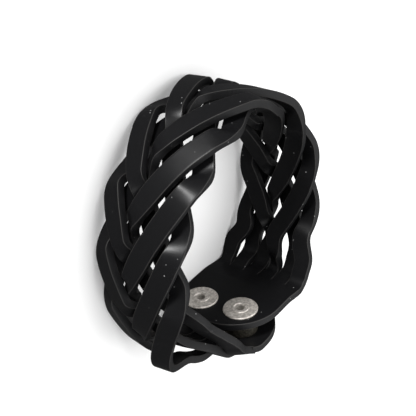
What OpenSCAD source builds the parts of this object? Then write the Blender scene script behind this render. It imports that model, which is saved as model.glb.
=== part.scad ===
// Braided silicone bracelet, lying on its side.
// One slit sheet of silicone is braided and its two end tabs are closed by a pair of press-studs.
// Millimetres, +Z up. The origin is on the surface it lies on, at the middle of the ring.
// Angles go round the ring from the press-studs at the back, anticlockwise seen from above.

/* [Ring] */
// Half of the ring's width, to the middle of the braid
half_width = 32.8; // [32:0.1:34]
// Half of the ring's depth, to the middle of the braid
half_depth = 36.2; // [35.6:0.1:37]
// Distance from the ring's middle to the middle of the inner tab's sheet
inner_seat = 26.4; // [26:0.1:26.6]
// Distance from the ring's middle to the middle of the outer tab's sheet
outer_seat = 33; // [32.8:0.1:33.6]

/* [Sheet] */
// Thickness of the silicone sheet
sheet_t = 2.1; // [1.8:0.1:2.1]
// Width of the sheet across both tabs
sheet_w = 29; // [28.6:0.2:29.2]
// Radius of the round ends of the tabs
end_r = 14; // [12:0.5:14]

/* [Braid] */
// Distance from the middle of the braid to the middle of a strand that lies over or under
layer = 1.95; // [1.95:0.05:2.05]
// Angle from one chevron to the next where the braid is even
pitch = 30.5; // [30:0.25:31]
// How sharply a strand turns at the rims, from a soft wave to a hard zigzag
turn = 0.94; // [0.93:0.01:0.96]
// How far the rims curl inward round the side away from the press-studs
crown = 3; // [2:0.25:3.25]

/* [Press-studs] */
// Diameter of the flat ring of the eyelet
flange_d = 9.8; // [8:0.2:9.8]
// Distance between the two press-studs
stud_pitch = 12.3; // [11.9:0.1:12.3]

/* [Hidden] */

SILICONE = [0.07, 0.07, 0.075];
NICKEL = [0.6, 0.58, 0.55];
STRANDS = 6;
strand_w = sheet_w / STRANDS;
mid_z = sheet_w / 2;

// Moves the ring's middle so that the whole bracelet is centred on the origin
RING_Y = 2.2;

// Ends of the tabs and of the slits, in degrees from the press-studs
inner_end = -17.3;
inner_root = 33;
outer_root = 348;
outer_end = 384.8;

// Chevrons seen from the front, one row each. A chevron is where one strand turns at the upper rim.
// middle: its angle round the ring, at half height
// lean: how far the upper rim runs ahead of that and the lower rim behind, in degrees
// reach: height from the middle of the braid to the middle of the strands at the rims
chevrons = [
  // middle, lean, reach
  [127, 6, 10.2],
  [158, 9, 10.8],
  [188, 6, 11],
  [217, 0, 10.6],
  [244, 0, 10.4],
  [272, -1, 10.8],
  [302, -3, 10.6],
  [352, 0, 11.4]
];
LAST = len(chevrons) - 1;
LEAN_FADE = 3;

// The braid's lower rim clears the surface by a hair, the tabs stand on it
RIM_LIFT = 0.15;
braid_z = max([for (c = chevrons) c[2]]) + strand_w / 2 + RIM_LIFT;

// Chevrons that a strand takes to fall from the upper rim to the lower, of the six in its whole wave
FALL = 3.2;

// Phases of a strand's wave, in degrees from its turn on the upper rim: half of the stretch in which it
// comes out at a rim, the places where it dives under, and half of the stretch in which it does so
RIM_HALF = 16;
FALL_DIVE = 105;
RISE_DIVE = 254;
DIVE_HALF = 9;
// Turn of the dive line across a strand, in degrees of phase a millimetre
DIVE_SKEW = 2.4;
// Part of its width that a strand loses as it leaves the tabs, and again where it dives
SLIM = 0.06;
SQUEEZE = 0.3;
SQUEEZE_HALF = 32;
// Part of its width that a strand gains where it lies flat, and half of the turn at a rim in which it doesn't
SPREAD = 0.15;
SPREAD_HALF = 25;

// Where a strand stands off its layer, one row each: loose inside, or bulging outside
slack = [
  // strand, angle, half_length, offset
  [0, 306, 48, -4],
  [5, 307, 19, 3.2]
];
// The strand that ends at the upper edge of the outer tab stays inside after this phase
LOOSE_STRAND = 0;
LOOSE_PHASE = 340;

// Stretches of the ring over which a shape comes and goes: angles where it starts, is full, fades, is gone
CROWN_SPAN = [165, 215, 315, 345];
PINCH_SPAN = [300, 325, 335, 352];
CURL_SPAN = [318, 345, 344, 357];
// How far the ring is drawn in beside the outer tab
PINCH = 1.6;
// How far the outer tab's upper corner curls inward at its slits, and the heights between which it does
CURL = 3;
CURL_Z = [22, 30];
// Angles between which each tab's straight seat runs into the oval
INNER_FLAT = [24, 50];
OUTER_FLAT = [352, 330];
// Small steps to either side of a place, to find its direction: in degrees, and in chevrons
ANGLE_STEP = 0.1;
U_STEP = 0.01;

function smooth(from, to, x) = let(t = max(0, min(1, (x - from) / (to - from)))) t * t * (3 - 2 * t);
function blend(a, b, t) = a + (b - a) * t;

// The plan of the ring: an ellipse that runs into a straight seat for each tab, drawn in beside the outer
function ellipse_r(a) = 1 / sqrt(pow(sin(a) / half_width, 2) + pow(cos(a) / half_depth, 2));
function over(span, a) = smooth(span[0], span[1], a) * smooth(span[3], span[2], a);
function ring_r(a) =
  (a < INNER_FLAT[1] ? blend(inner_seat / cos(a), ellipse_r(a), smooth(INNER_FLAT[0], INNER_FLAT[1], a)) :
  a > OUTER_FLAT[1] ? blend(outer_seat / cos(a), ellipse_r(a), smooth(OUTER_FLAT[0], OUTER_FLAT[1], a)) :
  ellipse_r(a)) - PINCH * over(PINCH_SPAN, a);
function on_ring(a) = ring_r(a) * [-sin(a), cos(a)];
function outward(a) = let(d = on_ring(a + ANGLE_STEP) - on_ring(a - ANGLE_STEP)) [d[1], -d[0]] / norm(d);

// The point at an angle and height, h outside the ring's middle surface, which curls in at the rims
function drawn_in(a, z) =
  crown * pow((z - mid_z) / mid_z, 2) * over(CROWN_SPAN, a)
  + CURL * smooth(CURL_Z[0], CURL_Z[1], z) * over(CURL_SPAN, a);
function at(a, z, h) = let(p = on_ring(a) + (h - drawn_in(a, z)) * outward(a)) [p[0], p[1], z];
function degrees(s, r) = s / r * 180 / PI;

// The chevron table, carried on at an even pitch at both ends and read at any place u between rows
function chevron(i) =
  i < 0 ? [chevrons[0][0] + i * pitch, max(0, 1 + i / LEAN_FADE) * chevrons[0][1], chevrons[0][2]] :
  i <= LAST ? chevrons[i] : [chevrons[LAST][0] + (i - LAST) * pitch, 0, chevrons[LAST][2]];
function chevron_at(u) =
  let(i = floor(u), t = u - i, t2 = t * t, t3 = t2 * t,
    before = (chevron(i + 1) - chevron(i - 1)) / 2, after = (chevron(i + 2) - chevron(i)) / 2)
  (2 * t3 - 3 * t2 + 1) * chevron(i) + (3 * t2 - 2 * t3) * chevron(i + 1)
  + (t3 - 2 * t2 + t) * before + (t3 - t2) * after;
first_u = (inner_root - chevrons[0][0]) / pitch;
last_u = LAST + (outer_root - chevrons[LAST][0]) / pitch;

// A strand's phase runs from 0 at one turn on the upper rim to 360 at its next
function phase(k, u) =
  let(laps = floor((u - k) / STRANDS), p = u - k - STRANDS * laps)
  360 * laps + (p < FALL ? 180 * p / FALL : 180 + 180 * (p - FALL) / (STRANDS - FALL));
function in_lap(x) = x - 360 * floor(x / 360);

// Height of the wave between the rims, from 1 at the upper rim to -1 at the lower
function wave(x) = asin(turn * cos(x)) / asin(turn);
function wave_slope(x) = -sin(x) / sqrt(1 - pow(turn * cos(x), 2));

// Which layer a strand lies in: 1 outside, -1 inside. It comes to the outside at each rim and dives
// under once it has passed the middle.
function rise(middle, half, x) = 2 * smooth(middle - half, middle + half, x) - 1;
function layer_side(x) = let(p = in_lap(x))
  p < FALL_DIVE / 2 ? rise(0, RIM_HALF, p) :
  p < (FALL_DIVE + 180) / 2 ? -rise(FALL_DIVE, DIVE_HALF, p) :
  p < (RISE_DIVE + 180) / 2 ? rise(180, RIM_HALF, p) :
  p < (RISE_DIVE + 360) / 2 ? -rise(RISE_DIVE, DIVE_HALF, p) : rise(360, RIM_HALF, p);

// Each strand leaves the tabs in the slot nearest to its place in the braid. Both are read where no two
// strands cross: so many chevrons after the first slits, and so many before the last chevron.
INNER_READ = 1;
OUTER_READ = 0.65;
function rank(values, v) = len([for (other = values) if (other < v) 1]);
function slots(u) = let(w = [for (k = [0:STRANDS - 1]) wave(phase(k, u))]) [for (v = w) rank(w, v)];
inner_slots = slots(first_u + INNER_READ);
outer_slots = slots(LAST - OUTER_READ);
function slot_z(s) = (s + 0.5) * strand_w;

// How far a strand has come free of the tabs, from 0 at its root to 1. A run is in degrees, first from the
// inner tab and then from the outer.
function free(a, run) =
  smooth(inner_root, inner_root + run[0], a) * smooth(outer_root, outer_root - run[1], a);
LEAN_RUN = [30, 30];
LAYER_RUN = [12, 22];
SLIM_RUN = [5, 5];
SPREAD_RUN = [36, 66];
// Degrees from each tab over which the strands come from their slots to their waves
INNER_RUN = [15, 30];
OUTER_RUN = [12, 46];

// Angle, height and phase of a strand's middle line at place u
function strand_line(k, u) =
  let(
    c = chevron_at(u),
    x = phase(k, u),
    woven = braid_z + c[2] * wave(x),
    at_inner = smooth(inner_root + INNER_RUN[1], inner_root + INNER_RUN[0], c[0]),
    at_outer = smooth(outer_root - OUTER_RUN[1], outer_root - OUTER_RUN[0], c[0])
  )
  [
    c[0] + c[1] * wave(x) * free(c[0], LEAN_RUN),
    blend(blend(woven, slot_z(inner_slots[k]), at_inner), slot_z(outer_slots[k]), at_outer),
    x
  ];
function stand_off(k, a) = let(rows = [for (s = slack) if (s[0] == k) s])
  len(rows) == 0 ? 0 : rows[0][3] * smooth(0, 1, 1 - abs(a - rows[0][1]) / rows[0][2]);

// The point n millimetres across a strand from its middle line
function strand_edge(k, u, n) =
  let(
    line = strand_line(k, u),
    step = strand_line(k, u + U_STEP) - strand_line(k, u - U_STEP),
    slope = atan2(step[1], step[0] * ring_r(line[0]) * PI / 180),
    x = line[2] + DIVE_SKEW * n * wave_slope(line[2]),
    side = layer_side(k == LOOSE_STRAND ? min(x, LOOSE_PHASE) : x)
  )
  at(line[0] - degrees(n * sin(slope), ring_r(line[0])), line[1] + n * cos(slope),
    layer * side * free(line[0], LAYER_RUN) + stand_off(k, line[0]));
function squeeze(x) = let(p = in_lap(x))
  smooth(SQUEEZE_HALF, 0, abs(p - FALL_DIVE)) + smooth(SQUEEZE_HALF, 0, abs(p - RISE_DIVE));
function spread(x) = let(p = in_lap(x)) smooth(0, SPREAD_HALF, min(p, abs(p - 180), 360 - p));
function strand_half(k, u) =
  let(a = chevron_at(u)[0], x = phase(k, u))
  strand_w / 2 * (1 + SPREAD * spread(x) * free(a, SPREAD_RUN)
    - (SLIM + SQUEEZE * squeeze(x)) * free(a, SLIM_RUN));
function strand_mid(k, u) = (strand_edge(k, u, -strand_w / 2) + strand_edge(k, u, strand_w / 2)) / 2;
function strand_section(k, u) =
  let(
    n = strand_half(k, u),
    low = strand_edge(k, u, -n),
    high = strand_edge(k, u, n),
    face = cross(strand_mid(k, u + U_STEP) - strand_mid(k, u - U_STEP), high - low),
    half = face / norm(face) * sheet_t / 2
  )
  [low - half, high - half, high + half, low + half];

// Angles at which a tab's outline is drawn, from its round end to its slits
END_STEPS = 10;
TAB_STEPS = 8;
function tab_angles(end, root, seat) =
  let(way = sign(root - end), full = end + way * degrees(end_r, seat))
  concat([for (i = [0:END_STEPS - 1]) end + way * degrees(end_r * (1 - cos(90 * i / END_STEPS)), seat)],
    [for (i = [0:TAB_STEPS]) blend(full, root, i / TAB_STEPS)]);
function inset(a, end, seat) =
  let(s = min(end_r, abs(a - end) * PI / 180 * seat)) end_r - sqrt(end_r * end_r - pow(end_r - s, 2));

// One row of points across a tab, a pair at each slit line, inner face then outer face
function tab_row(a, inset) = [
  for (b = [0:STRANDS], side = [-1, 1])
    at(a, mid_z + (b * strand_w - mid_z) * (1 - inset / mid_z), side * sheet_t / 2)
];
function tab_points(angles, end, seat) = [for (a = angles) each tab_row(a, inset(a, end, seat))];
function reversed(list) = [for (i = [len(list) - 1:-1:0]) list[i]];

// The slit sheet in one piece: a tab, six strands of equal steps from root to root, and the other tab
STEPS = 126;
module slit_sheet() {
  rows = END_STEPS + TAB_STEPS;
  row = 2 * (STRANDS + 1);
  outer_base = (rows + 1) * row;
  strand_base = 2 * outer_base;
  points = concat(
    tab_points(tab_angles(inner_end, inner_root, inner_seat), inner_end, inner_seat),
    tab_points(reversed(tab_angles(outer_end, outer_root, outer_seat)), outer_end, outer_seat),
    [for (k = [0:STRANDS - 1], j = [1:STEPS - 1]) each strand_section(k, blend(first_u, last_u, j / STEPS))]
  );
  // Number of the point at corner c of strand k after j steps; a root's corners are points of its tab
  CORNER_SLOT = [0, 1, 1, 0];
  CORNER_FACE = [0, 0, 1, 1];
  function corner(k, j, c) =
    j == 0 ? rows * row + 2 * (inner_slots[k] + CORNER_SLOT[c]) + CORNER_FACE[c] :
    j == STEPS ? outer_base + 2 * (outer_slots[k] + CORNER_SLOT[c]) + CORNER_FACE[c] :
    strand_base + 4 * (k * (STEPS - 1) + j - 1) + c;
  function quad(a, b, c, d) = [[a, c, b], [a, d, c]];
  strand_faces = [for (k = [0:STRANDS - 1], j = [0:STEPS - 1], c = [0:3])
    let(next = (c + 1) % 4)
    each quad(corner(k, j, c), corner(k, j, next), corner(k, j + 1, next), corner(k, j + 1, c))];
  function tab_faces(base) = [
    for (i = [0:rows - 1])
      let(p = base + i * row, q = p + row)
      each concat(
        [for (b = [0:STRANDS - 1]) each quad(p + 2 * b, p + 2 * b + 2, q + 2 * b + 2, q + 2 * b)],
        [for (b = [0:STRANDS - 1]) each quad(p + 2 * b + 3, p + 2 * b + 1, q + 2 * b + 1, q + 2 * b + 3)],
        quad(p + 1, p, q, q + 1),
        quad(p + row - 2, p + row - 1, q + row - 1, q + row - 2)
      )
  ];
  first_end = [for (b = [0:STRANDS - 1]) each quad(2 * b + 1, 2 * b + 3, 2 * b + 2, 2 * b)];
  last_row = outer_base + rows * row;
  last_end = [for (b = [0:STRANDS - 1])
    each quad(last_row + 2 * b, last_row + 2 * b + 2, last_row + 2 * b + 3, last_row + 2 * b + 1)];
  polyhedron(points, concat(strand_faces, tab_faces(0), tab_faces(outer_base), first_end, last_end),
    convexity = 12);
}

// Press-studs. The left one is the lower, the right one the upper.
LEFT = -1;
RIGHT = 1;
GAP = 0.1;
STUD_X = 0.1;
STUD_SKEW = 0.8;
BARREL_R = 1.7;
BARREL_WALL = 0.5;
EYELET_HOLE_R = BARREL_R + 0.2;
FLANGE_T = 0.45;
BEAD_R = 2.1;
BEAD_W = 0.8;
BEAD_H = 0.2;
BARREL_END = 0.4;
STUD_R = 4.2;
STUD_T = 0.7;
KNOB_R = 2.4;
KNOB_NECK_R = 2.1;
KNOB_H = 2.2;
SOCKET_R = 4.6;
SOCKET_FLOOR = 0.8;
MOUTH_GAP = 0.25;
POST_R = 1.5;
POST_END = 0.6;
POST_HOLE_R = POST_R + 0.2;
CAP_R = 5;
CAP_T = 0.6;
CAP_EDGE = 0.3;
KNOB_EDGE = 0.8;
HOLE_SIDES = 32;
TURNED_SIDES = 64;
// How far a hole's cutter stands out of both faces of the sheet
OVERCUT = 1;

// Puts a turned part's axis, drawn upwards, pointing outward through the tabs at one of the studs
module at_stud(side, y)
  translate([STUD_X - side * STUD_SKEW, y + RING_Y, braid_z + side * stud_pitch / 2])
    rotate([-90, 0, 0]) children();
inner_face = inner_seat - sheet_t / 2;
stud_face = inner_seat + sheet_t / 2;
socket_face = outer_seat - sheet_t / 2;
cap_face = outer_seat + sheet_t / 2;

module hole(side, face, r)
  at_stud(side, face - OVERCUT) cylinder(h = sheet_t + 2 * OVERCUT, r = r, $fn = HOLE_SIDES);
module stud_holes() {
  for (side = [LEFT, RIGHT]) {
    hole(side, inner_face, EYELET_HOLE_R);
    hole(side, socket_face, POST_HOLE_R);
  }
}

module strap() {
  color(SILICONE) difference() {
    translate([0, RING_Y, 0]) slit_sheet();
    stud_holes();
  }
}

// Flat ring with a raised bead round its hole, and the hollow barrel that goes through the tab
module eyelet(side) {
  r = flange_d / 2;
  bore = BARREL_R - BARREL_WALL;
  top = -GAP - FLANGE_T;
  color(NICKEL) at_stud(side, inner_face) rotate_extrude($fn = TURNED_SIDES) polygon([
    [bore, top], [BEAD_R - BEAD_W / 2, top], [BEAD_R - BEAD_W / 4, top - BEAD_H],
    [BEAD_R + BEAD_W / 4, top - BEAD_H], [BEAD_R + BEAD_W / 2, top], [r - FLANGE_T / 2, top],
    [r, top + FLANGE_T / 2], [r, -GAP], [BARREL_R, -GAP], [BARREL_R, sheet_t + BARREL_END],
    [bore, sheet_t + BARREL_END]
  ]);
}

// Disc with a knob on it; the barrel's end sits in a recess at its back
module stud(side) {
  top = GAP + STUD_T + KNOB_H;
  color(NICKEL) at_stud(side, stud_face) rotate_extrude($fn = TURNED_SIDES) polygon([
    [BARREL_R + GAP, GAP], [STUD_R, GAP], [STUD_R, GAP + STUD_T], [KNOB_NECK_R, GAP + STUD_T],
    [KNOB_R, top - KNOB_EDGE], [KNOB_NECK_R, top], [0, top], [0, BARREL_END + 2 * GAP],
    [BARREL_R + GAP, BARREL_END + 2 * GAP]
  ]);
}

// Thick ring round the knob, with a floor that the cap's post goes into
module socket(side) {
  mouth = outer_seat - inner_seat - sheet_t - GAP - STUD_T - MOUTH_GAP;
  bore = KNOB_R + GAP;
  color(NICKEL) at_stud(side, socket_face) rotate_extrude($fn = TURNED_SIDES) polygon([
    [POST_HOLE_R, -GAP], [SOCKET_R, -GAP], [SOCKET_R, -mouth + GAP], [SOCKET_R - GAP, -mouth],
    [bore, -mouth], [bore, -GAP - SOCKET_FLOOR], [POST_HOLE_R, -GAP - SOCKET_FLOOR]
  ]);
}

// Flat cap with the post that holds the socket
module cap(side) {
  top = GAP + CAP_T;
  color(NICKEL) at_stud(side, cap_face) rotate_extrude($fn = TURNED_SIDES) polygon([
    [0, -sheet_t - POST_END], [POST_R, -sheet_t - POST_END], [POST_R, GAP], [CAP_R, GAP],
    [CAP_R, top - CAP_EDGE], [CAP_R - CAP_EDGE, top], [0, top]
  ]);
}

module eyelet_left() eyelet(LEFT);
module eyelet_right() eyelet(RIGHT);
module stud_left() stud(LEFT);
module stud_right() stud(RIGHT);
module socket_left() socket(LEFT);
module socket_right() socket(RIGHT);
module cap_left() cap(LEFT);
module cap_right() cap(RIGHT);

strap();
eyelet_left();
eyelet_right();
stud_left();
stud_right();
socket_left();
socket_right();
cap_left();
cap_right();
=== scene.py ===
import math

import bmesh
import bpy
import numpy as np
from mathutils import Matrix, Vector


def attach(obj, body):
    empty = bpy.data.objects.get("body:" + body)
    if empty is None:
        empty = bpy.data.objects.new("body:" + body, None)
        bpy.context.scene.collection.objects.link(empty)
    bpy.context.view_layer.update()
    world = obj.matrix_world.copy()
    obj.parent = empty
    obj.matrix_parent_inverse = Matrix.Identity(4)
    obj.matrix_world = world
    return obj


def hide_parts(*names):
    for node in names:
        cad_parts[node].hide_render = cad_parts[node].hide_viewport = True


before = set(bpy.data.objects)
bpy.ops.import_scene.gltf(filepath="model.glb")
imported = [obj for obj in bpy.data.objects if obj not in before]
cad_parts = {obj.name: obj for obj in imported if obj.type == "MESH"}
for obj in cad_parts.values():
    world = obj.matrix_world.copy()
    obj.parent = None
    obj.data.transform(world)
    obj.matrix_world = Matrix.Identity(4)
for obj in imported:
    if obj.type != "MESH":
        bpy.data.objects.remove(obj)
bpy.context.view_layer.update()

# Braided silicone bracelet, lying on its side. Sizes are millimetres, as in the CAD source, and become
# metres as each mesh is made. Angles go round the ring from the press-studs, anticlockwise from above.
MM = 0.001


# The ring: the plan that the whole strap follows. It is an oval, as wide as a wrist, which runs into a
# straight seat for each tab, so that the press-studs meet square. Nothing is made here yet.
HALF_WIDTH = 32.8
HALF_DEPTH = 36.2
INNER_SEAT = 26.4
OUTER_SEAT = 33
RING_Y = 2.2
SHEET_T = 2.1
SHEET_W = 29
MID_Z = SHEET_W / 2
# Ends of the tabs and of the slits
INNER_END = -17.3
INNER_ROOT = 33
OUTER_ROOT = 348
OUTER_END = 384.8
# Angles between which each tab's straight seat runs into the oval
INNER_FLAT = (24, 50)
OUTER_FLAT = (352, 330)
# How far the rims curl inward round the far side, how far the ring is drawn in beside the outer tab, and how
# far that tab's upper corner curls inward. Each has the angles where it starts, is full, fades and is gone,
# and the corner has the heights between which it curls.
CROWN = 3
CROWN_SPAN = (165, 215, 315, 345)
PINCH = 1.6
PINCH_SPAN = (300, 325, 335, 352)
CURL = 3
CURL_SPAN = (318, 345, 344, 357)
CURL_Z = (22, 30)
# A small step to either side of a place, to find the ring's direction there
ANGLE_STEP = 0.1


def smooth(start, end, x):
    t = np.clip((x - start) / (end - start), 0, 1)
    return t * t * (3 - 2 * t)


def between(a, b, t):
    return a + (b - a) * t


def over(span, angle):
    """1 where a shape is full, 0 where it hasn't started or is gone."""
    return smooth(span[0], span[1], angle) * smooth(span[3], span[2], angle)


def ring_radius(angle):
    """From the ring's middle to the middle of the sheet."""
    a = np.radians(angle)
    oval = 1 / np.hypot(np.sin(a) / HALF_WIDTH, np.cos(a) / HALF_DEPTH)
    inner = between(INNER_SEAT / np.cos(a), oval, smooth(*INNER_FLAT, angle))
    outer = between(OUTER_SEAT / np.cos(a), oval, smooth(*OUTER_FLAT, angle))
    radius = np.where(angle < INNER_FLAT[1], inner, np.where(angle > OUTER_FLAT[1], outer, oval))
    return radius - PINCH * over(PINCH_SPAN, angle)


def on_ring(angle):
    """The point of the plan at that angle, from the ring's middle."""
    a = np.radians(angle)
    return ring_radius(angle)[..., None] * np.stack([-np.sin(a), np.cos(a)], axis=-1)


def place(angle, z, outside):
    """The point at that angle, that high above the floor and that far outside the middle of the sheet."""
    angle, z, outside = np.broadcast_arrays(*(np.asarray(v, float) for v in (angle, z, outside)))
    along = on_ring(angle + ANGLE_STEP) - on_ring(angle - ANGLE_STEP)
    outward = np.stack([along[..., 1], -along[..., 0]], axis=-1)
    outward /= np.linalg.norm(outward, axis=-1, keepdims=True)
    crown = CROWN * ((z - MID_Z) / MID_Z) ** 2 * over(CROWN_SPAN, angle)
    curl = CURL * smooth(*CURL_Z, z) * over(CURL_SPAN, angle)
    xy = on_ring(angle) + (outside - crown - curl)[..., None] * outward
    return np.stack([xy[..., 0], xy[..., 1] + RING_Y, z], axis=-1)


def degrees_along(length, radius):
    """The angle that a length along the ring takes up."""
    return np.degrees(length / radius)


# The braid: six strands of black silicone, slit in one sheet and woven over and under into a flat
# herringbone. Each one, numbered k, runs from rim to rim in the same wave, one chevron behind the last, and
# dives under past the middle. A place u along the braid counts the chevrons.
STRANDS = 6
STRAND_W = SHEET_W / STRANDS
# One row for each chevron seen from the front: its angle, how far its upper rim runs ahead, and its reach
CHEVRONS = np.array([
    (127, 6, 10.2), (158, 9, 10.8), (188, 6, 11), (217, 0, 10.6),
    (244, 0, 10.4), (272, -1, 10.8), (302, -3, 10.6), (352, 0, 11.4),
])
LAST = len(CHEVRONS) - 1
# Beyond the rows the chevrons follow at an even pitch, and before the first the lean fades over so many
PITCH = 30.5
LEAN_FADE = 3
# The braid's lower rim clears the floor by a hair
RIM_LIFT = 0.15
BRAID_Z = CHEVRONS[:, 2].max() + STRAND_W / 2 + RIM_LIFT
# How sharply a strand turns at the rims, and how many chevrons of the six in its wave it takes to fall
TURN = 0.94
FALL = 3.2
# How far a strand lies over or under the middle of the braid. It changes sides round these phases of its
# wave, which count from the turn on the upper rim, in a stretch of twice the half.
LAYER = 1.95
RIM_HALF = 16
FALL_DIVE = 105
RISE_DIVE = 254
DIVE_HALF = 9
# Turn of the dive line across a strand, in degrees of phase a millimetre
DIVE_SKEW = 2.4
# Parts of its width that a strand loses all along, loses as it dives, and gains away from its turns. The
# halves are of the phases round a dive and round a turn.
SLIM = 0.06
SQUEEZE = 0.3
SQUEEZE_HALF = 32
SPREAD = 0.15
SPREAD_HALF = 25
# How far from the inner tab and from the outer each of these has come in
LEAN_RUN = (30, 30)
LAYER_RUN = (12, 22)
SLIM_RUN = (5, 5)
SPREAD_RUN = (36, 66)
# How far from each tab a strand leaves its slot, and how far from it runs in its wave
INNER_RUN = (15, 30)
OUTER_RUN = (12, 46)
# Strand: the angle at which it stands off its layer, half the stretch in which it does so, and how far
SLACK = {0: (306, 48, -4), 5: (307, 19, 3.2)}
# The strand that ends at the upper edge of the outer tab stays inside after this phase
LOOSE_STRAND = 0
LOOSE_PHASE = 340
# The slots are shared out where no two strands cross: so many chevrons after the first slits, and so many
# before the last chevron
INNER_READ = 1
OUTER_READ = 0.65
# A strand's ends reach this far into the tabs, and are as much thinner there as not to show
INTO_TAB = 1.5
SUNK = 0.97
# Rows to spare at each end, for the smooth curve through them, and a small step to find a strand's direction
SPARE_ROWS = 2
U_STEP = 0.01


def chevron_row(i):
    """The row of chevron i, carried on beyond both ends of the table."""
    if i < 0:
        return (CHEVRONS[0][0] + i * PITCH, max(0, 1 + i / LEAN_FADE) * CHEVRONS[0][1], CHEVRONS[0][2])
    if i <= LAST:
        return tuple(CHEVRONS[i])
    return (CHEVRONS[LAST][0] + (i - LAST) * PITCH, 0, CHEVRONS[LAST][2])


FIRST_U = (INNER_ROOT - CHEVRONS[0][0]) / PITCH
LAST_U = LAST + (OUTER_ROOT - CHEVRONS[LAST][0]) / PITCH
FIRST_ROW = math.floor(FIRST_U) - SPARE_ROWS
chevron_rows = np.array([chevron_row(i) for i in range(FIRST_ROW, LAST + SPARE_ROWS + 1)])


def chevron_at(u):
    """Angle, lean and reach at place u, on a smooth curve through the rows."""
    i = np.floor(u).astype(int)
    t = (u - i)[..., None]
    a, b, c, d = (chevron_rows[i - FIRST_ROW + step] for step in (-1, 0, 1, 2))
    start, end = (c - a) / 2, (d - b) / 2
    return (
        (2 * t**3 - 3 * t**2 + 1) * b + (3 * t**2 - 2 * t**3) * c
        + (t**3 - 2 * t**2 + t) * start + (t**3 - t**2) * end
    )


def wave_phase(k, u):
    """Where a strand is in its wave: 0 at its turn on the upper rim, 360 at its next."""
    laps = np.floor((u - k) / STRANDS)
    p = u - k - STRANDS * laps
    fall = 180 * p / FALL
    climb = 180 + 180 * (p - FALL) / (STRANDS - FALL)
    return 360 * laps + np.where(p < FALL, fall, climb)


def wave(phase):
    """Height between the rims, from 1 at the upper rim to -1 at the lower."""
    return np.arcsin(TURN * np.cos(np.radians(phase))) / math.asin(TURN)


def wave_slope(phase):
    """How steeply a strand climbs, from -1 falling to 1 rising."""
    return -np.sin(np.radians(phase)) / np.sqrt(1 - (TURN * np.cos(np.radians(phase))) ** 2)


def rise(middle, half, phase):
    """From -1 to 1 in a stretch of twice the half round a middle phase."""
    return 2 * smooth(middle - half, middle + half, phase) - 1


def layer_side(phase):
    """1 where a strand lies outside, -1 where it lies inside."""
    p = phase % 360
    return np.select(
        [p < FALL_DIVE / 2, p < (FALL_DIVE + 180) / 2, p < (RISE_DIVE + 180) / 2, p < (RISE_DIVE + 360) / 2],
        [rise(0, RIM_HALF, p), -rise(FALL_DIVE, DIVE_HALF, p), rise(180, RIM_HALF, p),
         -rise(RISE_DIVE, DIVE_HALF, p)],
        rise(360, RIM_HALF, p),
    )


def slot_order(u):
    """The slot of each strand, counted from the lowest, in the order in which they lie at place u."""
    waves = [float(wave(wave_phase(k, np.array(u)))) for k in range(STRANDS)]
    return [sorted(waves).index(w) for w in waves]


INNER_SLOTS = slot_order(FIRST_U + INNER_READ)
OUTER_SLOTS = slot_order(LAST - OUTER_READ)


def free(angle, run):
    """0 where a strand leaves either tab, 1 once it has come free, that far from the inner and the outer."""
    return smooth(INNER_ROOT, INNER_ROOT + run[0], angle) * smooth(OUTER_ROOT, OUTER_ROOT - run[1], angle)


def strand_line(k, u):
    """Angle, height and phase of a strand's middle line."""
    angle, lean, reach = np.moveaxis(chevron_at(u), -1, 0)
    phase = wave_phase(k, u)
    z = BRAID_Z + reach * wave(phase)
    at_inner = smooth(INNER_ROOT + INNER_RUN[1], INNER_ROOT + INNER_RUN[0], angle)
    at_outer = smooth(OUTER_ROOT - OUTER_RUN[1], OUTER_ROOT - OUTER_RUN[0], angle)
    z = between(z, (INNER_SLOTS[k] + 0.5) * STRAND_W, at_inner)
    z = between(z, (OUTER_SLOTS[k] + 0.5) * STRAND_W, at_outer)
    return angle + lean * wave(phase) * free(angle, LEAN_RUN), z, phase


def strand_edge(k, u, across):
    """The point of a strand's middle surface that far across it from its middle line."""
    angle, z, phase = strand_line(k, u)
    ahead, behind = strand_line(k, u + U_STEP), strand_line(k, u - U_STEP)
    radius = ring_radius(angle)
    slope = np.arctan2(ahead[1] - behind[1], np.radians(ahead[0] - behind[0]) * radius)
    skewed = phase + DIVE_SKEW * across * wave_slope(phase)
    if k == LOOSE_STRAND:
        skewed = np.minimum(skewed, LOOSE_PHASE)
    outside = LAYER * layer_side(skewed) * free(angle, LAYER_RUN)
    if k in SLACK:
        middle, half, offset = SLACK[k]
        outside = outside + offset * smooth(0, 1, 1 - np.abs(angle - middle) / half)
    return place(angle - degrees_along(across * np.sin(slope), radius), z + across * np.cos(slope), outside)


def strand_half_width(k, u):
    """Half a strand's width at place u: less where it dives, more between its turns."""
    p = wave_phase(k, u) % 360
    dives = smooth(SQUEEZE_HALF, 0, np.abs(p - FALL_DIVE)) + smooth(SQUEEZE_HALF, 0, np.abs(p - RISE_DIVE))
    turns = smooth(SPREAD_HALF, 0, np.minimum(p % 180, 180 - p % 180))
    angle = chevron_at(u)[..., 0]
    spread = SPREAD * (1 - turns) * free(angle, SPREAD_RUN)
    return STRAND_W / 2 * (1 + spread - (SLIM + SQUEEZE * dives) * free(angle, SLIM_RUN))


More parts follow.
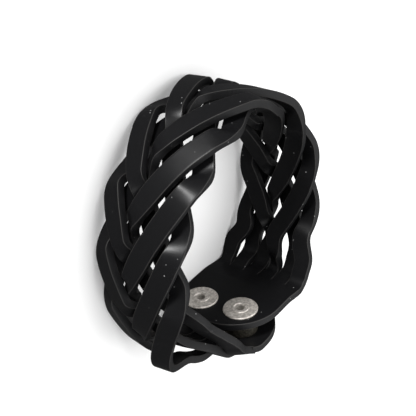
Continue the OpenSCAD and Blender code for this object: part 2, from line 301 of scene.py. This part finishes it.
def strand_path(k, stations):
    """Middle points of a strand, and at each the vectors to its upper cut edge and to its outer face."""
    u = np.linspace(FIRST_U, LAST_U, stations)
    half = strand_half_width(k, u)
    low, high = strand_edge(k, u, -half), strand_edge(k, u, half)

    def middle(v):
        return (strand_edge(k, v, -STRAND_W / 2) + strand_edge(k, v, STRAND_W / 2)) / 2

    ahead, behind = np.minimum(u + U_STEP, LAST_U), np.maximum(u - U_STEP, FIRST_U)
    face = np.cross(middle(ahead) - middle(behind), high - low)
    face *= SHEET_T / 2 / np.linalg.norm(face, axis=-1, keepdims=True)
    roots = ((0, INNER_ROOT - INTO_TAB, INNER_SLOTS), (-1, OUTER_ROOT + INTO_TAB, OUTER_SLOTS))
    for end, angle, slots in roots:
        low[end], high[end] = place(angle, np.array([slots[k], slots[k] + 1]) * STRAND_W, 0)
        face[end] *= SUNK
    return (low + high) / 2, (high - low) / 2, face


# Each strand is cut clean through the sheet, so its section is a flat bar with four crisp arrises. A
# node tree sweeps that section along the six paths and marks how far each point is onto a cut edge.
HALF_STRAND_W = STRAND_W / 2
HALF_SHEET_T = SHEET_T / 2
ARRIS = 0.16
ARRIS_STEPS = 4
# Extra points this far in from each cut edge keep the broad faces flat
FLAT_FROM = 3 * ARRIS
STATIONS = 320
# Faces that meet at more than this angle keep a crisp line between them
SHARP = math.radians(40)


def cut_section(name):
    """A closed line round the section of one strand."""
    points = []
    for sx, sy, start in ((1, 1, 0), (-1, 1, 90), (-1, -1, 180), (1, -1, 270)):
        centre = (sx * (HALF_STRAND_W - ARRIS), sy * (HALF_SHEET_T - ARRIS))
        turn = [math.radians(start + 90 * i / ARRIS_STEPS) for i in range(ARRIS_STEPS + 1)]
        corner = [(centre[0] + ARRIS * math.cos(t), centre[1] + ARRIS * math.sin(t)) for t in turn]
        flat = [(sx * (HALF_STRAND_W - FLAT_FROM), sy * HALF_SHEET_T)]
        points += corner + flat if sx == sy else flat + corner
    count = len(points)
    loop = [(i, (i + 1) % count) for i in range(count)]
    mesh = bpy.data.meshes.new(name)
    mesh.from_pydata([(x * MM, y * MM, 0) for x, y in points], loop, [])
    section = bpy.data.objects.new(name, mesh)
    bpy.context.collection.objects.link(section)
    return section


def path_object(name, paths):
    """One line of points for each path, with its two vectors kept as attributes."""
    middles, across, faces = (np.concatenate(parts) * MM for parts in zip(*paths))
    count = len(paths[0][0])
    links = [(p * count + i, p * count + i + 1) for p in range(len(paths)) for i in range(count - 1)]
    mesh = bpy.data.meshes.new(name)
    mesh.from_pydata(middles.tolist(), links, [])
    for attribute, values in (("middle", middles), ("across", across), ("face", faces)):
        mesh.attributes.new(attribute, "FLOAT_VECTOR", "POINT").data.foreach_set("vector", values.ravel())
    lines = bpy.data.objects.new(name, mesh)
    bpy.context.collection.objects.link(lines)
    return lines


def sweep_tree():
    """Sweeps a section along lines, square to the two vectors that each point of a line carries."""
    tree = bpy.data.node_groups.new("Sweep cut section along strands", "GeometryNodeTree")
    tree.is_modifier = True
    sockets = tree.interface
    for name, kind in (
        ("Paths", "Geometry"), ("Section", "Object"), ("Half width", "Float"),
        ("Half thickness", "Float"), ("Arris", "Float"), ("Silicone", "Material"),
    ):
        sockets.new_socket(name, in_out="INPUT", socket_type=f"NodeSocket{kind}")
    sockets.new_socket("Strands", in_out="OUTPUT", socket_type="NodeSocketGeometry")
    nodes, links = tree.nodes, tree.links
    given, made = nodes.new("NodeGroupInput"), nodes.new("NodeGroupOutput")

    def node(kind, **settings):
        n = nodes.new(kind)
        for key, value in settings.items():
            setattr(n, key, value)
        return n

    def named(attribute):
        n = node("GeometryNodeInputNamedAttribute", data_type="FLOAT_VECTOR")
        n.inputs["Name"].default_value = attribute
        return n.outputs["Attribute"]

    def maths(operation, *values, clamp=False):
        n = node("ShaderNodeMath", operation=operation, use_clamp=clamp)
        for socket, value in zip(n.inputs, values):
            if isinstance(value, bpy.types.NodeSocket):
                links.new(value, socket)
            else:
                socket.default_value = value
        return n.outputs[0]

    def scaled(vector, factor):
        n = node("ShaderNodeVectorMath", operation="SCALE")
        links.new(vector, n.inputs[0])
        links.new(factor, n.inputs["Scale"])
        return n.outputs[0]

    def added(a, b):
        n = node("ShaderNodeVectorMath", operation="ADD")
        links.new(a, n.inputs[0])
        links.new(b, n.inputs[1])
        return n.outputs[0]

    # The section goes along each path, and each of its points keeps its own place in the section
    rails = node("GeometryNodeMeshToCurve")
    links.new(given.outputs["Paths"], rails.inputs["Mesh"])
    outline = node("GeometryNodeObjectInfo")
    links.new(given.outputs["Section"], outline.inputs["Object"])
    keep = node("GeometryNodeStoreNamedAttribute", data_type="FLOAT_VECTOR", domain="POINT")
    keep.inputs["Name"].default_value = "section"
    links.new(outline.outputs["Geometry"], keep.inputs["Geometry"])
    links.new(node("GeometryNodeInputPosition").outputs[0], keep.inputs["Value"])
    profile = node("GeometryNodeMeshToCurve")
    links.new(keep.outputs[0], profile.inputs["Mesh"])
    sweep = node("GeometryNodeCurveToMesh")
    links.new(rails.outputs[0], sweep.inputs["Curve"])
    links.new(profile.outputs[0], sweep.inputs["Profile Curve"])
    sweep.inputs["Fill Caps"].default_value = True

    # There the strand's own vectors turn, widen and flatten the section
    split = node("ShaderNodeSeparateXYZ")
    links.new(named("section"), split.inputs[0])
    sideways = maths("DIVIDE", split.outputs["X"], given.outputs["Half width"])
    upwards = maths("DIVIDE", split.outputs["Y"], given.outputs["Half thickness"])
    offset = added(scaled(named("across"), sideways), scaled(named("face"), upwards))
    put = node("GeometryNodeSetPosition")
    links.new(sweep.outputs[0], put.inputs["Geometry"])
    links.new(added(named("middle"), offset), put.inputs["Position"])

    # 1 on a cut edge, 0 on a broad face, and in between on an arris
    from_edge = maths("SUBTRACT", given.outputs["Half width"], maths("ABSOLUTE", split.outputs["X"]))
    onto_face = maths("DIVIDE", from_edge, given.outputs["Arris"], clamp=True)
    mark = node("GeometryNodeStoreNamedAttribute", data_type="FLOAT", domain="POINT")
    mark.inputs["Name"].default_value = "cut"
    links.new(put.outputs[0], mark.inputs["Geometry"])
    links.new(maths("SUBTRACT", 1, onto_face), mark.inputs["Value"])
    even = node("GeometryNodeSetShadeSmooth")
    links.new(mark.outputs[0], even.inputs["Geometry"])
    realize = node("GeometryNodeRealizeInstances")
    links.new(even.outputs[0], realize.inputs["Geometry"])
    finish = node("GeometryNodeSetMaterial")
    links.new(realize.outputs[0], finish.inputs["Geometry"])
    links.new(given.outputs["Silicone"], finish.inputs["Material"])
    links.new(finish.outputs[0], made.inputs[0])
    return tree


def grown(name, source, tree, **values):
    """The plain mesh object that a node tree makes from a source object."""
    modifier = source.modifiers.new("Sweep", "NODES")
    modifier.node_group = tree
    keys = {item.name: item.identifier for item in tree.interface.items_tree if item.in_out == "INPUT"}
    for label, value in values.items():
        modifier[keys[label.replace("_", " ")]] = value
    evaluated = source.evaluated_get(bpy.context.evaluated_depsgraph_get())
    mesh = bpy.data.meshes.new_from_object(evaluated)
    source.modifiers.remove(modifier)
    mesh.set_sharp_from_angle(angle=SHARP)
    mesh.name = name
    piece = bpy.data.objects.new(name, mesh)
    bpy.context.collection.objects.link(piece)
    return piece


def face_outwards(piece):
    """Turns a closed mesh's faces round if they point inwards."""
    bm = bmesh.new()
    bm.from_mesh(piece.data)
    if bm.calc_volume(signed=True) < 0:
        bmesh.ops.reverse_faces(bm, faces=bm.faces)
    bm.to_mesh(piece.data)
    bm.free()


# The silicone is nearly black. Its skin is satin, a little glossier between faint smears, and it is dull
# where it is cut, with a fine paler line painted along the arrises as a highlight. Dust sits on it in
# patches.
SKIN_BLACK = (0.0055, 0.0055, 0.006, 1)
CUT_BLACK = (0.005, 0.005, 0.0055, 1)
# Painted highlight: a paler tone on the arrises, standing in for the light the rounded arris catches
ARRIS_PAINTED_HIGHLIGHT = (0.026, 0.025, 0.024, 1)
DUST = (0.4, 0.4, 0.4, 1)
SKIN_ROUGHNESS = (0.31, 0.36)
CUT_ROUGHNESS = 0.55
GRAIN_DEPTH = 0.05


def silicone():
    """The black silicone, which reads from "cut" how far a point is onto a cut edge."""
    material = bpy.data.materials.new("Black silicone")
    material.use_nodes = True
    nodes, links = material.node_tree.nodes, material.node_tree.links
    shader = nodes["Principled BSDF"]
    shader.inputs["IOR"].default_value = 1.42
    shader.inputs["Specular IOR Level"].default_value = 0.26
    where = nodes.new("ShaderNodeTexCoord").outputs["Object"]

    def noise(scale, detail, roughness=0.5):
        n = nodes.new("ShaderNodeTexNoise")
        n.inputs["Scale"].default_value = scale
        n.inputs["Detail"].default_value = detail
        n.inputs["Roughness"].default_value = roughness
        links.new(where, n.inputs["Vector"])
        return n.outputs["Fac"]

    def fitted(value, given, wanted):
        n = nodes.new("ShaderNodeMapRange")
        for socket, number in zip(("From Min", "From Max", "To Min", "To Max"), (*given, *wanted)):
            n.inputs[socket].default_value = number
        links.new(value, n.inputs["Value"])
        return n.outputs["Result"]

    cut = nodes.new("ShaderNodeAttribute")
    cut.attribute_name = "cut"
    smears = fitted(noise(scale=220, detail=5, roughness=0.6), given=(0.35, 0.65), wanted=SKIN_ROUGHNESS)
    finish = nodes.new("ShaderNodeMix")
    links.new(cut.outputs["Fac"], finish.inputs["Factor"])
    links.new(smears, finish.inputs["A"])
    finish.inputs["B"].default_value = CUT_ROUGHNESS
    links.new(finish.outputs["Result"], shader.inputs["Roughness"])

    tone = nodes.new("ShaderNodeValToRGB")
    tone.color_ramp.elements[0].color = SKIN_BLACK
    tone.color_ramp.elements[1].color = CUT_BLACK
    # Between face and cut edge the arris is given the paler tone, a painted highlight
    for position in (0.15, 0.85):
        tone.color_ramp.elements.new(position).color = ARRIS_PAINTED_HIGHLIGHT
    links.new(cut.outputs["Fac"], tone.inputs["Fac"])

    dust = nodes.new("ShaderNodeTexVoronoi")
    dust.inputs["Scale"].default_value = 420
    links.new(where, dust.inputs["Vector"])
    specks = fitted(dust.outputs["Distance"], given=(0.03, 0.07), wanted=(1, 0))
    patches = fitted(noise(scale=160, detail=2), given=(0.47, 0.53), wanted=(0, 1))
    few = nodes.new("ShaderNodeMath")
    few.operation = "MULTIPLY"
    links.new(specks, few.inputs[0])
    links.new(patches, few.inputs[1])
    dusty = nodes.new("ShaderNodeMix")
    dusty.data_type = "RGBA"
    black, pale = (socket for socket in dusty.inputs if socket.type == "RGBA")
    links.new(few.outputs[0], dusty.inputs["Factor"])
    links.new(tone.outputs["Color"], black)
    pale.default_value = DUST
    links.new(next(socket for socket in dusty.outputs if socket.type == "RGBA"), shader.inputs["Base Color"])

    grain = nodes.new("ShaderNodeBump")
    grain.inputs["Strength"].default_value = 0.12
    grain.inputs["Distance"].default_value = GRAIN_DEPTH * MM
    links.new(noise(scale=2600, detail=3), grain.inputs["Height"])
    links.new(grain.outputs["Normal"], shader.inputs["Normal"])
    return material


black_silicone = silicone()
section = cut_section("strand_section")
paths = path_object("strand_paths", [strand_path(k, STATIONS) for k in range(STRANDS)])
braid = grown(
    "braid", paths, sweep_tree(), Section=section, Half_width=HALF_STRAND_W * MM,
    Half_thickness=HALF_SHEET_T * MM, Arris=ARRIS * MM, Silicone=black_silicone,
)
face_outwards(braid)
for helper in (section, paths):
    bpy.data.objects.remove(helper)
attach(braid, "root")
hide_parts("strap")


# The tabs: the two solid ends of the silicone sheet, each as wide as six strands and cut to a half round.
# They are punched for the press-studs, and they bend with the ring until they lie flat on their seats.
END_R = 14
END_STEPS = 28
TAB_ARRIS = 0.22
# The tab is divided this finely both ways, so that it bends in a smooth curve
DIVIDE = 1.2
# Points no further apart than this are in one place
HAIR = 1e-5


def flat_tab(length):
    """A tab laid out flat: x from its round end to the slits, y across it, z through the sheet."""
    flat = MID_Z - END_R
    arc = [math.radians(90 * i / END_STEPS) for i in range(END_STEPS + 1)]
    side = [(END_R - END_R * math.cos(t), flat + END_R * math.sin(t)) for t in arc] + [(length, MID_Z)]
    outline = side + [(x, -y) for x, y in reversed(side)]
    bm = bmesh.new()
    face = bm.faces.new([bm.verts.new((x, y, -HALF_SHEET_T)) for x, y in outline])
    top = bmesh.ops.extrude_face_region(bm, geom=[face], use_keep_orig=True)["geom"]
    for v in top:
        if isinstance(v, bmesh.types.BMVert):
            v.co.z = HALF_SHEET_T
    bmesh.ops.recalc_face_normals(bm, faces=bm.faces)
    rim = [
        e for e in bm.edges
        if abs(e.verts[0].co.z - e.verts[1].co.z) < HAIR and min(v.co.x for v in e.verts) < length - HAIR
    ]
    bmesh.ops.bevel(
        bm, geom=rim, offset=TAB_ARRIS, segments=4, profile=0.5, affect="EDGES", clamp_overlap=False,
    )
    for axis, start, end in ((0, DIVIDE, length), (1, -MID_Z + DIVIDE / 2, MID_Z)):
        line = start
        while line < end - DIVIDE / 2:
            point, normal = [0, 0, 0], [0, 0, 0]
            point[axis], normal[axis] = line, 1
            everything = bm.verts[:] + bm.edges[:] + bm.faces[:]
            bmesh.ops.bisect_plane(bm, geom=everything, dist=HAIR, plane_co=point, plane_no=normal)
            line += DIVIDE
    return bm


def bent_tab(name, end, root, seat):
    """The flat tab bent onto the ring, with its cut edge marked for the material."""
    way = 1 if root > end else -1
    bm = flat_tab(math.radians(abs(root - end)) * seat)
    cut = bm.verts.layers.float.new("cut")
    for v in bm.verts:
        v[cut] = min(1, max(0, (HALF_SHEET_T - abs(v.co.z)) / TAB_ARRIS))
    flat = np.array([v.co for v in bm.verts])
    bent = place(end + way * degrees_along(flat[:, 0], seat), MID_Z + flat[:, 1], flat[:, 2]) * MM
    for v, point in zip(bm.verts, bent):
        v.co = point
    bmesh.ops.recalc_face_normals(bm, faces=bm.faces)
    mesh = bpy.data.meshes.new(name)
    bm.to_mesh(mesh)
    bm.free()
    mesh.shade_smooth()
    tab = bpy.data.objects.new(name, mesh)
    bpy.context.collection.objects.link(tab)
    return tab


# The holes for the press-studs, one above the other on a line that leans a little: wider through the inner
# tab, for the eyelets' barrels, than through the outer tab, for the caps' posts
STUD_X = 0.1
STUD_SKEW = 0.8
STUD_PITCH = 12.3
EYELET_HOLE_R = 1.9
POST_HOLE_R = 1.7
HOLE_SIDES = 48


def stud_axis(side, y):
    """The point on a press-stud's axis at that distance from the ring's middle; side -1 is the lower."""
    return Vector((STUD_X - side * STUD_SKEW, y + RING_Y, BRAID_Z + side * STUD_PITCH / 2)) * MM


def punch_holes(tab, seat, radius):
    """Cuts the two holes through a tab, square to its seat."""
    for side in (-1, 1):
        bpy.ops.mesh.primitive_cylinder_add(
            vertices=HOLE_SIDES, radius=radius * MM, depth=2 * SHEET_T * MM, location=stud_axis(side, seat),
            rotation=(math.pi / 2, 0, 0),
        )
        punch = bpy.context.object
        cutter = tab.modifiers.new("Punch", "BOOLEAN")
        cutter.operation = "DIFFERENCE"
        cutter.object = punch
        mesh = bpy.data.meshes.new_from_object(tab.evaluated_get(bpy.context.evaluated_depsgraph_get()))
        tab.modifiers.remove(cutter)
        mesh.set_sharp_from_angle(angle=SHARP)
        tab.data = mesh
        bpy.data.objects.remove(punch)


for name, end, root, seat, hole in (
    ("inner_tab", INNER_END, INNER_ROOT, INNER_SEAT, EYELET_HOLE_R),
    ("outer_tab", OUTER_END, OUTER_ROOT, OUTER_SEAT, POST_HOLE_R),
):
    tab = bent_tab(name, end, root, seat)
    punch_holes(tab, seat, hole)
    tab.data.materials.clear()
    tab.data.materials.append(black_silicone)
    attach(tab, "root")
    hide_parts("strap")


# The press-studs: four turned parts of nickel-plated brass to each. The eyelet is riveted through the inner
# tab to the stud, and the cap through the outer tab to the socket, which the stud snaps into. They keep the
# meshes of the CAD solids.
def nickel(name, worn, clean):
    """Dull nickel plate, speckled between two tones where it has worn and picked up grime."""
    material = bpy.data.materials.new(name)
    material.use_nodes = True
    nodes, links = material.node_tree.nodes, material.node_tree.links
    shader = nodes["Principled BSDF"]
    shader.inputs["Metallic"].default_value = 0.5
    where = nodes.new("ShaderNodeTexCoord").outputs["Object"]
    mottle = nodes.new("ShaderNodeTexNoise")
    mottle.inputs["Scale"].default_value = 1500
    mottle.inputs["Detail"].default_value = 4
    links.new(where, mottle.inputs["Vector"])
    tones = nodes.new("ShaderNodeValToRGB")
    for element, position, tone in zip(tones.color_ramp.elements, (0.38, 0.62), (worn, clean)):
        element.position = position
        element.color = tone
    links.new(mottle.outputs["Fac"], tones.inputs["Fac"])
    links.new(tones.outputs["Color"], shader.inputs["Base Color"])
    # The worn specks are duller too
    dull = nodes.new("ShaderNodeMapRange")
    dull.inputs["To Min"].default_value = 0.5
    dull.inputs["To Max"].default_value = 0.3
    links.new(mottle.outputs["Fac"], dull.inputs["Value"])
    links.new(dull.outputs["Result"], shader.inputs["Roughness"])
    return material


bright = nickel("Nickel plate", worn=(0.42, 0.39, 0.355, 1), clean=(0.68, 0.64, 0.59, 1))
# The studs and sockets sit in the shade between the two tabs, so they get a much darker copy of the plate:
# painted shade, not tarnish
nickel_in_painted_shade = nickel("Nickel darkened as painted shade", worn=(0.018, 0.016, 0.012, 1), clean=(0.06, 0.055, 0.043, 1))
for part, plate in (("eyelet", bright), ("stud", nickel_in_painted_shade), ("socket", nickel_in_painted_shade), ("cap", bright)):
    for hand in ("left", "right"):
        turned_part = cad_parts[f"{part}_{hand}"]
        turned_part.data.materials.clear()
        turned_part.data.materials.append(plate)


# The stage: a plain pale floor, which doesn't show in the gloss of the silicone. A very broad light overhead
# is as soft as a studio's ceiling, and a small box, low and in front, puts the highlights on the strands.
# Sizes and places on the stage are metres.
FLOOR_SIZE = 16
OVERHEAD_SPREAD = math.radians(120)
KEY_AT = Vector((0.26, -0.62, 0.08))
KEY_AIM = Vector((0, 0, 0.02))
KEY_SIZE = (0.1, 0.12)
bpy.ops.mesh.primitive_plane_add(size=FLOOR_SIZE)
floor = bpy.context.object
floor.name = "floor"
paper = bpy.data.materials.new("White paper")
paper.use_nodes = True
paper.node_tree.nodes["Principled BSDF"].inputs["Base Color"].default_value = (0.9, 0.9, 0.9, 1)
paper.node_tree.nodes["Principled BSDF"].inputs["Roughness"].default_value = 0.9
floor.data.materials.append(paper)
floor.visible_glossy = False

sky = bpy.data.worlds.new("Studio")
bpy.context.scene.world = sky
sky.use_nodes = True
sky.node_tree.nodes["Background"].inputs["Color"].default_value = (1, 1, 1, 1)
sky.node_tree.nodes["Background"].inputs["Strength"].default_value = 0.1


def lamp(name, kind, power):
    light = bpy.data.lights.new(name, kind)
    light.energy = power
    holder = bpy.data.objects.new(name, light)
    bpy.context.collection.objects.link(holder)
    return holder


overhead = lamp("overhead", "SUN", power=4.4)
overhead.data.angle = OVERHEAD_SPREAD
key = lamp("key", "AREA", power=5)
key.data.shape = "RECTANGLE"
key.data.size, key.data.size_y = KEY_SIZE
key.location = KEY_AT
key.rotation_euler = (KEY_AIM - KEY_AT).to_track_quat("-Z", "Y").to_euler()
key.visible_camera = False


# The camera: at the photograph's angle to the bracelet, turned as the photograph is. The press-studs
# are at the bottom of the frame. Its focal length and middle are given in the photograph's pixels.
AZIMUTH = math.radians(51.05)
ELEVATION = math.radians(30.54)
ROLL = math.radians(-4.08)
DISTANCE = 245.846
FOCAL_PX = 924.92
FRAME_PX = 416
PRINCIPAL = (212.534, 226.701)
LOOK_AT = Vector((0, RING_Y, 13))
SENSOR = 36
back = Vector((
    math.sin(AZIMUTH) * math.cos(ELEVATION), -math.cos(AZIMUTH) * math.cos(ELEVATION), math.sin(ELEVATION),
))
right = (-back).cross(Vector((0, -1, 0))).normalized()
up = right.cross(-back)
right, up = right * math.cos(ROLL) + up * math.sin(ROLL), up * math.cos(ROLL) - right * math.sin(ROLL)
lens = bpy.data.cameras.new("camera")
lens.sensor_width = SENSOR
lens.lens = FOCAL_PX / FRAME_PX * SENSOR
lens.shift_x = (FRAME_PX / 2 - PRINCIPAL[0]) / FRAME_PX
lens.shift_y = (PRINCIPAL[1] - FRAME_PX / 2) / FRAME_PX
lens.clip_start, lens.clip_end = 0.01, 10
camera = bpy.data.objects.new("camera", lens)
bpy.context.collection.objects.link(camera)
turned = Matrix((right, up, back)).transposed().to_4x4()
camera.matrix_world = Matrix.Translation((LOOK_AT + back * DISTANCE) * MM) @ turned
bpy.context.scene.camera = camera
bpy.context.scene.view_settings.view_transform = "Standard"
